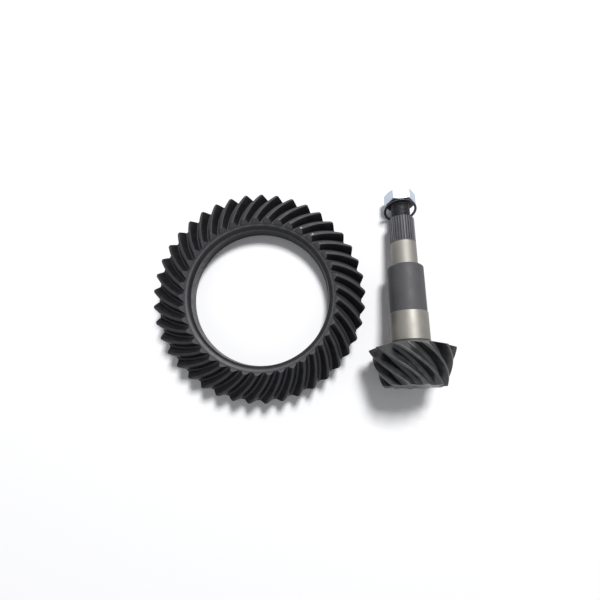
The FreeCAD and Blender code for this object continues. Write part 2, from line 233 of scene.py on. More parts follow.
@dataclass(frozen=True)
class ToothForm:
    """The outline of a tooth space, square to the tooth."""

    floor: float
    flank_angle: float
    crown: float
    root_radius: float
    tip_radius: float
    arc_steps: int = 3
    flank_steps: int = 4

    def half_outline(self, depth: float, half_pitch: float, inset: float) -> list[Point]:
        """Draw the outline from the middle of the space to the middle of the tooth.

        Args:
            depth: The space's depth.
            half_pitch: Half the distance from tooth to tooth.
            inset: How far the outline is pulled into the metal, for a broken edge.

        Returns:
            (across, height above the floor) points.
        """
        slope = math.radians(self.flank_angle)
        top = self.floor / 2 + depth * math.tan(slope)
        outline = rounded([
            Corner(0, 0),
            Corner(self.floor / 2, 0, self.root_radius),
            Corner(top, depth, self.tip_radius),
            Corner(half_pitch, depth),
        ], self.arc_steps)
        low, high = outline[self.arc_steps + 1], outline[self.arc_steps + 2]
        flank = []
        for step in range(1, self.flank_steps + 1):
            share = step / (self.flank_steps + 1)
            bulge = 4 * share * (1 - share) * self.crown
            x, y = between(low, high, share)
            flank.append((x - bulge * math.cos(slope), y + bulge * math.sin(slope)))
        outline[self.arc_steps + 2:self.arc_steps + 2] = flank
        outline.insert(-1, between(outline[-2], outline[-1], 0.5))
        if inset == 0:
            return outline
        pulled = [(0.0, -inset)]
        for before, point, after in zip(outline, outline[1:], outline[2:]):
            along = Vector((after[0] - before[0], after[1] - before[1])).normalized()
            pulled.append((point[0] + inset * along.y, point[1] - inset * along.x))
        return [*pulled, (half_pitch, depth - inset)]


@dataclass(frozen=True)
class ToothRow:
    """A ring of spiral teeth, by its corners in the axial plane.

    The two bases are where the heel's and the toe's end faces meet the rest of the gear.
    """

    count: int
    heel_tip: Point
    toe_tip: Point
    heel_root: Point
    toe_root: Point
    heel_base: Point
    toe_base: Point
    form: ToothForm
    trace: Callable[[float], float]
    end_break: float = 0.3

    def place(self, share: float, sunk: float) -> Point:
        """Return the point at a share from heel to toe and a share of the depth."""
        tip = between(self.heel_tip, self.toe_tip, share)
        return between(tip, between(self.heel_root, self.toe_root, share), sunk)

    def end_share(self, sunk: float, tip: Point, base: Point) -> float:
        """Return the share at which this depth meets the end face from tip to base."""
        def beside(point: Point) -> float:
            return (point[0] - tip[0]) * (base[1] - tip[1]) - (point[1] - tip[1]) * (base[0] - tip[0])

        heel, toe = beside(self.place(0, sunk)), beside(self.place(1, sunk))
        return heel / (heel - toe)

    def spiral(self, share: float) -> float:
        """Return the spiral angle on the tips, in radians."""
        step = 0.001
        face = math.dist(self.heel_tip, self.toe_tip)
        turn = (self.trace(share + step) - self.trace(share - step)) / (2 * step)
        return math.atan(turn * self.place(share, 0)[0] / face)

    def row(self, station: float, inset: float = 0.0) -> list[Vector]:
        """Place one row of a pitch, from the middle of a space to the middle of the next."""
        lean = math.cos(self.spiral(station))
        depth = math.dist(self.place(station, 0), self.place(station, 1))
        half_pitch = math.pi * self.place(station, 0)[0] / self.count * lean
        outline = self.form.half_outline(depth, half_pitch, inset)
        near, far = [], []
        for number, (across, height) in enumerate(outline):
            sunk = 1 - height / depth
            heel = self.end_share(sunk, self.heel_tip, self.heel_base)
            toe = self.end_share(sunk, self.toe_tip, self.toe_base)
            share = lerp(heel, toe, station)
            radius, rise = self.place(share, sunk)
            turn = across / (radius * lean)
            if number == len(outline) - 1:
                turn = math.pi / self.count
            start = self.trace(share)
            near.append(polar(radius, rise, start + turn))
            far.append(polar(radius, rise, start + FULL_TURN / self.count - turn))
        return near + far[-2::-1]

    def rows(self, steps: int) -> list[list[Vector]]:
        """Place every row from heel to toe, with the end edges broken."""
        length = math.dist(self.heel_tip, self.toe_tip)
        edge = self.end_break / length
        stations = [lerp(edge, 1 - edge, step / steps) for step in range(steps + 1)]
        inner = [self.row(station) for station in stations]
        near = self.row(0.3 * edge, 0.3 * self.end_break), self.row(1 - 0.3 * edge, 0.3 * self.end_break)
        ends = self.row(0.0, self.end_break), self.row(1.0, self.end_break)
        return [ends[0], near[0], *inner, near[1], ends[1]]


def angles_of(row: Sequence[Vector]) -> list[float]:
    """Return each vertex's angle about the Z axis, without jumps along the row."""
    angles = [math.atan2(row[0].y, row[0].x)]
    for point in row[1:]:
        angle = math.atan2(point.y, point.x)
        angles.append(angles[-1] + math.remainder(angle - angles[-1], FULL_TURN))
    return angles


# Finishes
def linear(hex_colour: str) -> tuple[float, float, float, float]:
    """Turn an sRGB hex colour such as "2b2b2d" into linear RGBA."""
    levels = [int(hex_colour[k:k + 2], 16) / 255 for k in (0, 2, 4)]
    red, green, blue = (v / 12.92 if v <= 0.04045 else ((v + 0.055) / 1.055) ** 2.4 for v in levels)
    return red, green, blue, 1.0


class Nodes:
    """A node tree while it is being wired."""

    def __init__(self, tree: bpy.types.NodeTree) -> None:
        """Start with the tree cleared."""
        self.tree = tree
        tree.nodes.clear()

    def add(self, kind: str, inputs: dict | None = None, **settings) -> bpy.types.Node:
        """Add a node, set its properties, and set or link its inputs."""
        node = self.tree.nodes.new(kind)
        for key, value in settings.items():
            setattr(node, key, value)
        for key, value in (inputs or {}).items():
            if isinstance(value, bpy.types.NodeSocket):
                self.link(value, node.inputs[key])
            else:
                node.inputs[key].default_value = value
        return node

    def link(self, source: bpy.types.NodeSocket, target: bpy.types.NodeSocket) -> None:
        """Join an output to an input."""
        self.tree.links.new(source, target)

    def math(self, operation: str, first, second=0.0, clamp: bool = False) -> bpy.types.NodeSocket:
        """Return the result of a maths node on sockets or numbers."""
        node = self.add("ShaderNodeMath", {0: first, 1: second}, operation=operation, use_clamp=clamp)
        return node.outputs[0]

    def mix(self, share, first, second) -> bpy.types.NodeSocket:
        """Return a blend of two colours, given as sockets or linear RGBA."""
        node = self.add("ShaderNodeMix", {0: share, 6: first, 7: second}, data_type="RGBA")
        return node.outputs[2]

    def noise(self, place, size: float, detail: float = 3.0) -> bpy.types.NodeSocket:
        """Return noise whose features are about this many millimetres across."""
        node = self.add("ShaderNodeTexNoise", {"Vector": place, "Scale": 1 / size, "Detail": detail})
        return node.outputs["Fac"]

    def spread(self, value, low: float, high: float) -> bpy.types.NodeSocket:
        """Return the value stretched from low..high to 0..1, with soft ends."""
        node = self.add("ShaderNodeMapRange", {"Value": value, "From Min": low, "From Max": high},
                        interpolation_type="SMOOTHSTEP")
        return node.outputs["Result"]

    def seen(self) -> bpy.types.NodeSocket:
        """Return 1 on rays that the camera sees, straight, reflected or through glass, else 0."""
        path = self.add("ShaderNodeLightPath").outputs
        straight = self.math("MAXIMUM", path["Is Camera Ray"], path["Is Glossy Ray"])
        return self.math("MAXIMUM", straight, path["Is Transmission Ray"])


class Surface(Nodes):
    """A material's nodes, with its main shader joined to its output."""

    def __init__(self, name: str) -> None:
        """Make the material."""
        self.material = bpy.data.materials.new(name)
        self.material.use_nodes = True
        super().__init__(self.material.node_tree)
        self.shader = self.add("ShaderNodeBsdfPrincipled")
        self.add("ShaderNodeOutputMaterial", {0: self.shader.outputs[0]})

    def own_place(self) -> bpy.types.NodeSocket:
        """Return the point in the piece's own frame, in millimetres."""
        return self.value("own_mm", "Vector")

    def value(self, attribute: str, output: str = "Fac") -> bpy.types.NodeSocket:
        """Return a value that the piece's vertices carry."""
        return self.add("ShaderNodeAttribute", attribute_name=attribute).outputs[output]


@dataclass(frozen=True)
class Steel:
    """A steel surface: its colours, how it scatters light, and its marks in millimetres."""

    name: str
    colour: str
    shade: str
    metal: float
    rough: float
    blotch: float = 7.0
    grain: float = 0.5
    grain_depth: float = 0.01
    lines: float = 0.0
    line_depth: float = 0.0
    tint: str = ""
    worn_and_highlight: str = ""
    bare: str = ""
    sheen: float = 0.5

    def make(self) -> bpy.types.Material:
        """Wire the material."""
        nodes = Surface(self.name)
        place = nodes.own_place()
        blotch = nodes.spread(nodes.noise(place, self.blotch), 0.32, 0.68)
        grain = nodes.noise(place, self.grain, 4.0)
        colour = nodes.mix(blotch, linear(self.shade), linear(self.colour))
        height = nodes.math("MULTIPLY", grain, self.grain_depth * MM)
        rough = nodes.math("ADD", nodes.math("MULTIPLY", blotch, 0.12), self.rough - 0.06)
        if self.tint:
            patch = nodes.spread(nodes.noise(place, 2.3 * self.blotch), 0.5, 0.75)
            colour = nodes.mix(nodes.math("MULTIPLY", patch, 0.6), colour, linear(self.tint))
        if self.lines:
            along = nodes.add("ShaderNodeSeparateXYZ", {0: place}).outputs[2]
            line = nodes.add("ShaderNodeTexNoise", {"W": along, "Scale": 1 / self.lines, "Detail": 2.0},
                             noise_dimensions="1D").outputs["Fac"]
            height = nodes.math("ADD", height, nodes.math("MULTIPLY", line, self.line_depth * MM))
            dark = nodes.math("MULTIPLY", nodes.spread(line, 0.4, 0.75), 0.35)
            colour = nodes.mix(dark, colour, linear(self.shade))
        # Edge colour: rubbing wear, and on the ring and spacer also a painted highlight along the edges
        if self.worn_and_highlight:
            rubbed_and_highlit = nodes.math("MULTIPLY", nodes.value("edge_wear_and_highlight"), nodes.spread(grain, 0.25, 0.6))
            colour = nodes.mix(rubbed_and_highlit, colour, linear(self.worn_and_highlight))
        if self.bare:
            scuffed = nodes.math("MULTIPLY", nodes.value("scuff"), nodes.noise(place, 0.9))
            colour = nodes.mix(nodes.spread(scuffed, 0.34, 0.4), colour, linear(self.bare))
        bump = nodes.add("ShaderNodeBump", {"Height": height, "Distance": 1.0, "Strength": 1.0})
        shader = nodes.shader
        nodes.link(colour, shader.inputs["Base Color"])
        nodes.link(rough, shader.inputs["Roughness"])
        nodes.link(bump.outputs[0], shader.inputs["Normal"])
        shader.inputs["Metallic"].default_value = self.metal
        shader.inputs["Specular IOR Level"].default_value = self.sheen
        return nodes.material


# Black manganese phosphate, oiled: nearly black, thin grey lines on the tooth edges that are rubbing wear
# with a painted highlight on them, strongest on the side toward the key lamp, two bare scuffs
RING_PHOSPHATE = Steel("ring_phosphate", "1f1f21", "19191b", 0.1, 0.5, tint="1d1a27", worn_and_highlight="4c4c4f",
                       bare="cfcabc", sheen=0.4)
# The same coat on the turned toe ends, painted a shade paler, dry grey: painted light for the toe cone that
# faces up toward the lamp
TOE_FACE_PAINTED_LIGHT = Steel("turned_toe_ends_painted_light", "47474a", "3c3c3f", 0.1, 0.5, lines=0.5, line_depth=0.004)
# The same coat on the bored edge and wall, painted blue-black as painted shade for the dark band round the
# bore, and smooth
BORE_FACE_PAINTED_SHADE = Steel("bored_edge_painted_shade", "17171c", "111116", 0.0, 0.4, lines=0.6, line_depth=0.004, sheen=0.35)
# The same coat on the pinion's head, thinner, so more of the steel's grey comes through
HEAD_PHOSPHATE = Steel("head_phosphate", "4a4a4b", "3b3b3c", 0.5, 0.4, tint="363d3f", worn_and_highlight="626264")
# Ground bearing seats: warm grey with a soft shine, and fine lines round the shaft
GROUND = Steel("ground_journal", "918e88", "85827d", 1.0, 0.57, blotch=30.0, grain_depth=0.0,
               lines=0.5, line_depth=0.002)
# Turned and coated length between the seats: dark grey with faint tool lines
TURNED = Steel("turned_shaft", "4a4a4c", "414143", 0.1, 0.62, blotch=12.0, lines=0.6, line_depth=0.006)
# Machined back cone behind the teeth: pale grey, with clear tool lines
BACK_CONE = Steel("machined_cone", "747372", "5e5e5f", 0.7, 0.42, lines=0.4, line_depth=0.006)
# Rolled splines and thread: dark, oily steel
ROLLED = Steel("rolled_spline", "454548", "333337", 0.15, 0.5, blotch=5.0, worn_and_highlight="646468")
# Bright zinc plate: bluish white and smooth
ZINC = Steel("zinc_plate", "c0c8d3", "b1bac7", 1.0, 0.4, blotch=9.0, grain_depth=0.001)
# The nut's bearing end and bore, the zinc painted dark grey as painted shade
ZINC_PAINTED_SHADE = Steel("zinc_painted_shade", "34363c", "26282d", 0.5, 0.45, blotch=3.0, sheen=0.3)
# Oiled spring steel of the loose ring: near black, with a painted highlight: the lighter grey laid on its
# outer rim's edges
OILED_PAINTED_HIGHLIGHT = Steel("oiled_spacer_painted_highlight", "1e1e20", "161618", 0.1, 0.3, blotch=4.0, worn_and_highlight="3c3c40")


def outward_turn(vertex: bmesh.types.BMVert) -> float:
    """Return how sharp an outward edge a vertex stands on, from 0 to 1."""
    turns = [edge.calc_face_angle_signed(0.0) for edge in vertex.link_edges]
    return min(1.0, max(0.0, *turns) / SHARP_TURN)


@dataclass
class Piece:
    """One Blender object: a skin with its finishes, the body it rides on and what it stands for."""

    name: str
    skin: Skin
    finishes: Sequence[Steel]
    body: Body
    node: str
    slot: str
    sharp: float = 34.0

    def make(self, place: Matrix, zone: Callable[[float, float], int] | None = None,
             wear_and_highlight: Callable[[Vector], float] | None = None,
             scuff: Callable[[Vector], float] | None = None) -> bpy.types.Object:
        """Turn the skin into an object in the row frame.

        Args:
            place: From the piece's own frame in millimetres to the row frame in millimetres.
            zone: The finish's number at a (radius, height), where there are several.
            wear_and_highlight: How rubbed an edge at a point is, with any painted highlight on it, from 0 to
                1.
            scuff: How scuffed a point is, from 0 to 1.

        Returns:
            The object.
        """
        mesh = self.skin.mesh
        self.skin.weld()
        bmesh.ops.recalc_face_normals(mesh, faces=mesh.faces[:])
        own = mesh.verts.layers.float_vector.new("own_mm")
        rubbed_and_highlit = mesh.verts.layers.float.new("edge_wear_and_highlight")
        scuffed = mesh.verts.layers.float.new("scuff")
        for vertex in mesh.verts:
            vertex[own] = vertex.co
            if wear_and_highlight:
                vertex[rubbed_and_highlit] = wear_and_highlight(vertex.co) * outward_turn(vertex)
            if scuff:
                vertex[scuffed] = scuff(vertex.co)
        for face in mesh.faces:
            face.smooth = True
            if zone:
                middle = face.calc_center_median()
                face.material_index = zone(middle.xy.length, middle.z)
        mesh.transform(Matrix.Scale(MM, 4) @ place)
        data = bpy.data.meshes.new(self.name)
        mesh.to_mesh(data)
        mesh.free()
        data.set_sharp_from_angle(angle=math.radians(self.sharp))
        for finish in self.finishes:
            data.materials.append(bpy.data.materials.get(finish.name) or finish.make())
        made = bpy.data.objects.new(self.name, data)
        bpy.context.scene.collection.objects.link(made)
        shading = made.modifiers.new("even_shading", "WEIGHTED_NORMAL")
        shading.keep_sharp = True
        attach(made, self.body.value)
        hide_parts(self.node)
        log.info("%s: %d faces", self.name, len(data.polygons))
        return made


# Ring gear
@dataclass(frozen=True)
class RingSizes:
    """The ring gear's sizes."""

    teeth: int = 41
    first_tip: float = 2.0
    spiral: float = 35.8
    cutter: float = 80.0
    face_angle: float = 14.0
    heel_tip: Point = (123.825, 31.0)
    toe_radius: float = 92.0
    heel_depth: float = 12.0
    toe_depth: float = 9.4
    back_cone: float = 17.0
    bore: float = 82.0
    bore_height: float = 24.0
    land: Point = (84.6, 27.0)
    toe_base: Point = (88.2, 28.6)
    # Radius inside which the bore finish's painted shade begins
    painted_shade_edge: float = 86.0
    # Angle toward which the tooth edges' lines are strongest: a painted highlight on the side facing the key
    # lamp
    highlight_side: float = 60.0
    scuffs: tuple[Point, ...] = ((50.8, 96.0), (60.3, 92.8))
    scuff_reach: Point = (2.2, 3.0)
    scuff_depth: float = 4.0
    bolts: int = 12
    bolt_circle: float = 100.0
    bolt_depth: float = 19.0
    bolt_bore: float = 5.72
    bolt_thread_root: float = 6.3
    bolt_pitch: float = 1.27
    bolt_thread_length: float = 16.0
    bolt_lead: float = 0.5
    drill_point: float = 59.0
    wear_depth: float = 0.7
    rows: int = 22


class RingGear:
    """The ring gear lying on its back face."""

    def __init__(self, sizes: RingSizes) -> None:
        """Keep the sizes and work out the teeth."""
        self.sizes = sizes
        lean = math.radians(sizes.face_angle)
        rise = (sizes.heel_tip[0] - sizes.toe_radius) * math.tan(lean)
        toe_tip = (sizes.toe_radius, sizes.heel_tip[1] + rise)
        down = -math.sin(lean), -math.cos(lean)
        self.back_cone = sink(sizes.heel_tip, down, sizes.back_cone)
        self.teeth = ToothRow(
            count=sizes.teeth,
            heel_tip=sizes.heel_tip,
            toe_tip=toe_tip,
            heel_root=sink(sizes.heel_tip, down, sizes.heel_depth),
            toe_root=sink(toe_tip, down, sizes.toe_depth),
            heel_base=self.back_cone,
            toe_base=sizes.toe_base,
            form=ToothForm(floor=2.9, flank_angle=20.0, crown=0.12, root_radius=1.0, tip_radius=0.5),
            trace=self.trace,
        )

    def trace(self, share: float) -> float:
        """Return a tooth space's angle: the cutter's arc on the crown gear, wrapped on the cone."""
        sizes = self.sizes
        cone = math.radians(90 - sizes.face_angle)
        heel, toe = (radius / math.sin(cone) for radius in (sizes.heel_tip[0], sizes.toe_radius))
        mean = (heel + toe) / 2
        offset = 2 * mean * sizes.cutter * math.sin(math.radians(sizes.spiral))
        centre = math.sqrt(mean**2 + sizes.cutter**2 - offset)

        def crown_angle(distance: float) -> float:
            return math.acos((distance**2 + centre**2 - sizes.cutter**2) / (2 * distance * centre))

        first = math.radians(sizes.first_tip) + math.pi / sizes.teeth
        return first + (crown_angle(lerp(heel, toe, share)) - crown_angle(heel)) / math.sin(cone)

    def build(self) -> Skin:
        """Grow one pitch from the back face over the teeth to the bore, and repeat it."""
        sizes, outer = self.sizes, self.back_cone[0]
        rows = self.teeth.rows(sizes.rows)
        heel, toe = angles_of(rows[0]), angles_of(rows[-1])
        # The share from the toe base to the land where the bore finish's painted shade begins
        dark = (sizes.toe_base[0] - sizes.painted_shade_edge) / (sizes.toe_base[0] - sizes.land[0])
        skin = Skin()
        skin.grow_turned(rounded([
            Corner(outer - 1.5, 0),
            Corner(outer, 1.5, 0.4),
            Corner(*self.back_cone, 1.2),
            Corner(*between(self.back_cone, sizes.heel_tip, 0.14)),
        ]), heel)
        for row in rows:
            skin.grow(row)
        skin.grow_turned(rounded([
            Corner(*between(sizes.toe_base, self.teeth.toe_tip, 0.1)),
            Corner(*sizes.toe_base, 0.6),
            Corner(*between(sizes.toe_base, sizes.land, dark)),
            Corner(*sizes.land, 0.5),
            Corner(sizes.bore, sizes.bore_height, 0.4),
            Corner(sizes.bore, 0.8, 0.2),
            Corner(sizes.bore + 0.8, 0),
        ]), toe)
        skin.repeat(sizes.teeth)
        self.drill(skin)
        return skin

    def drill(self, skin: Skin) -> None:
        """Close the back face round its tapped holes."""
        sizes = self.sizes
        before = set(skin.mesh.verts)
        mouth = sizes.bolt_thread_root + 0.3
        point = sizes.bolt_bore / math.tan(math.radians(sizes.drill_point))
        circle, root, end = sizes.bolt_circle, sizes.bolt_thread_root, sizes.bolt_thread_length
        skin.lathe([(mouth, 0), (root, sizes.bolt_lead)], HOLE_STEPS, centre=circle)
        Thread(sizes.bolt_bore, root, sizes.bolt_pitch, sizes.bolt_lead, end).cut(skin, centre=circle)
        skin.lathe([
            (root, end),
            (sizes.bolt_bore, end + 0.6),
            (sizes.bolt_bore, sizes.bolt_depth),
            (0, sizes.bolt_depth + point),
        ], HOLE_STEPS, centre=circle)
        fresh = [vertex for vertex in skin.mesh.verts if vertex not in before]
        made = {item for vertex in fresh for item in (vertex, *vertex.link_edges, *vertex.link_faces)}
        bmesh.ops.spin(
            skin.mesh, geom=list(made), cent=(0, 0, 0), axis=(0, 0, 1),
            angle=FULL_TURN * (sizes.bolts - 1) / sizes.bolts, steps=sizes.bolts - 1, use_duplicate=True,
        )
        skin.weld()
        rims = [edge for edge in skin.mesh.edges
                if edge.is_boundary and all(abs(vertex.co.z) < WELD for vertex in edge.verts)]
        bmesh.ops.triangle_fill(skin.mesh, edges=rims, use_beauty=True, normal=(0, 0, -1))

    def wear_and_highlight(self, point: Vector) -> float:
        """Say how strong a point's edge line is, rubbing wear with a painted highlight: most on the tips of
        the side toward the key lamp, none below them.
        """
        radius = point.xy.length
        side = math.cos(math.atan2(point.y, point.x) - math.radians(self.sizes.highlight_side))
        share = (self.sizes.heel_tip[0] - radius) / (self.sizes.heel_tip[0] - self.sizes.toe_radius)
        if not -0.02 < share < 1.02:
            return 0.0
        tip = self.teeth.place(share, 0)[1]
        # The side factor paints the highlight: edges on the side toward the key lamp are lighter, those on
        # the far side get none
        return max(0.0, 1 - (tip - point.z) / self.sizes.wear_depth) * max(0.0, 0.4 + 0.6 * side)

    def scuff(self, point: Vector) -> float:
        """Say how scuffed a point is: two teeth are scuffed down to bare steel near their toes."""
        sizes, radius = self.sizes, point.xy.length
        if point.z < self.teeth.toe_tip[1] - sizes.scuff_depth:
            return 0.0
        angle = math.degrees(math.atan2(point.y, point.x))
        reaches = [math.hypot((angle - at) / sizes.scuff_reach[0], (radius - out) / sizes.scuff_reach[1])
                   for at, out in sizes.scuffs]
        return min(1.0, max(0.0, 1.6 - min(reaches)))

    def zone(self, radius: float, height: float) -> int:
        """Give a face's finish: 0 teeth and body, 1 turned toe ends painted paler as painted light, 2 bored
        edge and wall painted darker as painted shade.
        """
        tip, base = self.teeth.toe_tip, self.sizes.toe_base
        if radius < self.sizes.painted_shade_edge:
            return 2 if height > WELD else 0
        end = lerp(base[0], tip[0], (height - base[1]) / (tip[1] - base[1]))
        return int(height > self.sizes.land[1] and radius < end + self.teeth.end_break)

    def dress(self) -> None:
        """Make the piece."""
        finishes = [RING_PHOSPHATE, TOE_FACE_PAINTED_LIGHT, BORE_FACE_PAINTED_SHADE]
        piece = Piece("ring_gear_black", self.build(), finishes, Body.GEARS, "ring_gear", "ring_steel")
        piece.make(Matrix.Identity(4), self.zone, self.wear_and_highlight, self.scuff)


def sink(start: Point, direction: Point, distance: float) -> Point:
    """Return the point a distance from start along a direction."""
    return start[0] + direction[0] * distance, start[1] + direction[1] * distance


# Pinion
@dataclass(frozen=True)
class PinionSizes:
    """The pinion's sizes; lengths along it are from the toe face."""

    teeth: int = 11
    heel_spiral: float = 54.0
    toe_spiral: float = 48.0
    heel_tip: Point = (47.3, 40.0)
    toe_tip: Point = (34.0, 0.0)
    heel_depth: float = 12.0
    toe_depth: float = 8.6
    back_angle: float = 17.0
    journal: float = 21.5
    journal_length: float = 34.0
    waist: float = 20.8
    waist_length: float = 55.5
    outer_journal: float = 15.08
    outer_journal_length: float = 30.0
    splines: int = 29
    spline: float = 15.0
    spline_length: float = 33.0
    groove_depth: float = 1.3
    groove_width: float = 1.9
    groove_floor: float = 0.8
    spline_chamfer: float = 1.3
    thread: float = 11.1
    thread_root: float = 10.0
    thread_pitch: float = 25.4 / 14
    thread_length: float = 36.0
    end_chamfer: float = 0.5
    centre_drill: float = 3.4
    centre_angle: float = 60.0
    toe_base: Point = (23.4, 0.0)
    heel_base_radius: float = 33.0
    relief: float = 0.7
    spline_run_out: float = 3.2
    wear_depth: float = 0.8
    rows: int = 40

    @property
    def journal_start(self) -> float:
        """Where the back cone ends and the inner journal begins."""
        return self.heel_tip[1] + (self.heel_tip[0] - self.journal) * math.tan(math.radians(self.back_angle))

    @property
    def waist_start(self) -> float:
        """Where the inner journal ends."""
        return self.journal_start + self.journal_length

    @property
    def shoulder(self) -> float:
        """Where the waist steps down to the outer journal."""
        return self.waist_start + self.waist_length

    @property
    def spline_start(self) -> float:
        """Where the outer journal ends."""
        return self.shoulder + self.outer_journal_length

    @property
    def thread_start(self) -> float:
        """Where the splines end."""
        return self.spline_start + self.spline_length

    @property
    def end(self) -> float:
        """The length of the pinion."""
        return self.thread_start + self.thread_length


@dataclass(frozen=True)
class Lay:
    """How a piece of the pinion's axis lies: where its own origin is, and its turn about the axis."""

    origin: tuple[float, float, float] = (171.1, -103.27215, 51.6122)
    slope: float = 8.38766
    turn: float = 0.0

    def matrix(self) -> Matrix:
        """Return the way from the piece's own frame to the row frame, in millimetres."""
        tip = Matrix.Rotation(-math.radians(90 + self.slope), 4, "X")
        return Matrix.Translation(self.origin) @ tip @ Matrix.Rotation(math.radians(self.turn), 4, "Z")


class Pinion:
    """The pinion: toothed head and shaft, splined end and thread."""

    def __init__(self, sizes: PinionSizes, lay: Lay) -> None:
        """Keep the sizes and work out the teeth."""
        self.sizes, self.lay = sizes, lay
        lean = math.atan2(sizes.heel_tip[0] - sizes.toe_tip[0], sizes.heel_tip[1])
        inward = -math.cos(lean), math.sin(lean)
        back = math.tan(math.radians(sizes.back_angle))
        base = sizes.heel_base_radius
        self.teeth = ToothRow(
            count=sizes.teeth,
            heel_tip=sizes.heel_tip,
            toe_tip=sizes.toe_tip,
            heel_root=sink(sizes.heel_tip, inward, sizes.heel_depth),
            toe_root=sink(sizes.toe_tip, inward, sizes.toe_depth),
            heel_base=(base, sizes.heel_tip[1] + (sizes.heel_tip[0] - base) * back),
            toe_base=sizes.toe_base,
            form=ToothForm(floor=4.0, flank_angle=21.5, crown=0.45, root_radius=1.5, tip_radius=0.6,
                           arc_steps=4, flank_steps=6),
            trace=self.trace,
            end_break=0.4,
        )

    def trace(self, share: float) -> float:
        """Return a tooth space's angle: the integral of a spiral angle that falls evenly."""
        sizes, steps = self.sizes, 24
        face = math.dist(sizes.heel_tip, sizes.toe_tip)
        step = share / steps
        angle = math.pi / 2
        for number in range(steps):
            middle = (number + 0.5) * step
            spiral = math.radians(lerp(sizes.heel_spiral, sizes.toe_spiral, middle))
            angle += step * math.tan(spiral) * face / lerp(sizes.heel_tip[0], sizes.toe_tip[0], middle)
        return angle

    def head(self) -> Skin:
        """Grow one pitch from the toe face over the teeth and along the shaft, and repeat it."""
        sizes = self.sizes
        rows = self.teeth.rows(sizes.rows)[::-1]
        skin = Skin()
        drill = sizes.centre_drill
        skin.grow_turned(rounded([
            Corner(0, drill * math.tan(math.radians(sizes.centre_angle))),
            Corner(drill, 0, 0.5),
            Corner(12, 0),
            Corner(*self.teeth.toe_base),
        ]), angles_of(rows[0]))
        for row in rows:
            skin.grow(row)
        start, relief = sizes.journal_start, sizes.journal - sizes.relief
        skin.grow_turned(rounded([
            Corner(*self.teeth.heel_base),
            Corner(27.0, lerp(start, self.teeth.heel_base[1], 5.5 / 11.5)),
            Corner(sizes.journal, start, 0.4),
            Corner(relief, start + 0.35, 0.15),
            Corner(relief, start + 0.85, 0.15),
            Corner(sizes.journal, start + 1.2, 0.2),
            Corner(sizes.journal, sizes.waist_start - 0.7, 0.4),
            Corner(sizes.waist, sizes.waist_start, 0.4),
            Corner(sizes.waist, sizes.shoulder - 1.6, 0.5),
            Corner(sizes.waist - 1.6, sizes.shoulder, 0.3),
            Corner(sizes.outer_journal, sizes.shoulder, 0),
            Corner(0, sizes.shoulder),
        ]), angles_of(rows[-1]))
        skin.repeat(sizes.teeth)
        return skin

    def splined_end(self) -> Skin:
        """Grow one spline's pitch along the outer journal and the splines, and repeat it."""
        sizes = self.sizes
        half_pitch = math.pi * sizes.spline / sizes.splines
        slope = math.degrees(math.atan2((sizes.groove_width - sizes.groove_floor) / 2, sizes.groove_depth))
        form = ToothForm(sizes.groove_floor, slope, 0.0, 0.2, 0.16, arc_steps=2, flank_steps=1)
        outline = form.half_outline(sizes.groove_depth, half_pitch, 0.0)
        outline += [(2 * half_pitch - across, height) for across, height in outline[-2::-1]]
        angles = [across / sizes.spline for across, _ in outline]
        floor = sizes.spline - sizes.groove_depth
        skin = Skin()
        skin.grow_turned(rounded([
            Corner(0, sizes.shoulder - 1),
            Corner(sizes.outer_journal, sizes.shoulder - 1),
            Corner(sizes.outer_journal, sizes.spline_start - 0.3, 0.1),
            Corner(sizes.spline, sizes.spline_start),
        ]), angles)
        run_out, steps = sizes.spline_run_out, 6
        fades = [(sizes.spline_start + 0.4 + run_out * k / steps, math.sin(math.pi / 2 * k / steps))
                 for k in range(steps + 1)]
        edge = sizes.thread_start - sizes.spline_chamfer
        for height, fade in [*fades, (edge, 1.0), (sizes.thread_start, 1.0)]:
            limit = sizes.spline - max(0.0, height - edge)
            radii = [min(limit, lerp(sizes.spline, floor + rise, fade)) for _, rise in outline]
            skin.grow([polar(radius, height, angle) for radius, angle in zip(radii, angles)])
        skin.grow_turned([(sizes.thread_root, sizes.thread_start), (0, sizes.thread_start)], angles)
        skin.repeat(sizes.splines)
        return skin

    def thread(self) -> Skin:
        """Cut the thread from the splines to the coned and centre-drilled end."""
        sizes = self.sizes
        start, drill = sizes.thread_start - 1, sizes.centre_drill
        end, edge = sizes.end, sizes.end - sizes.end_chamfer
        skin = Skin()
        skin.lathe([(0, start), (sizes.thread_root, start)], HOLE_STEPS)
        Thread(sizes.thread, sizes.thread_root, sizes.thread_pitch, start, edge).cut(skin)
        point = drill * math.tan(math.radians(sizes.centre_angle))
        skin.lathe([(sizes.thread_root, edge), (sizes.thread_root - sizes.end_chamfer, end),
                    (drill, end), (0, end - point)], HOLE_STEPS)
        return skin

    def zone(self, radius: float, height: float) -> int:
        """Give the head piece's finish: 0 teeth, 1 back cone, 2 ground seat, 3 turned shaft."""
        sizes = self.sizes
        if height < sizes.heel_tip[1]:
            return 0
        back = sizes.heel_tip[1] + (sizes.heel_tip[0] - radius) * math.tan(math.radians(sizes.back_angle))
        if height < sizes.journal_start - 0.05:
            return 1 if height > back - 0.12 else 0
        seat = sizes.journal_start + 1.15 < height < sizes.waist_start - 0.6
        return 2 if seat else 3

    def wear_and_highlight(self, point: Vector) -> float:
        """Say how rubbed a point of the head is: full on the tips' edges, none below them."""
        share = 1 - point.z / self.sizes.heel_tip[1]
        if not -0.05 < share < 1.01:
            return 0.0
        return max(0.0, 1 - (self.teeth.place(share, 0)[0] - point.xy.length) / self.sizes.wear_depth)

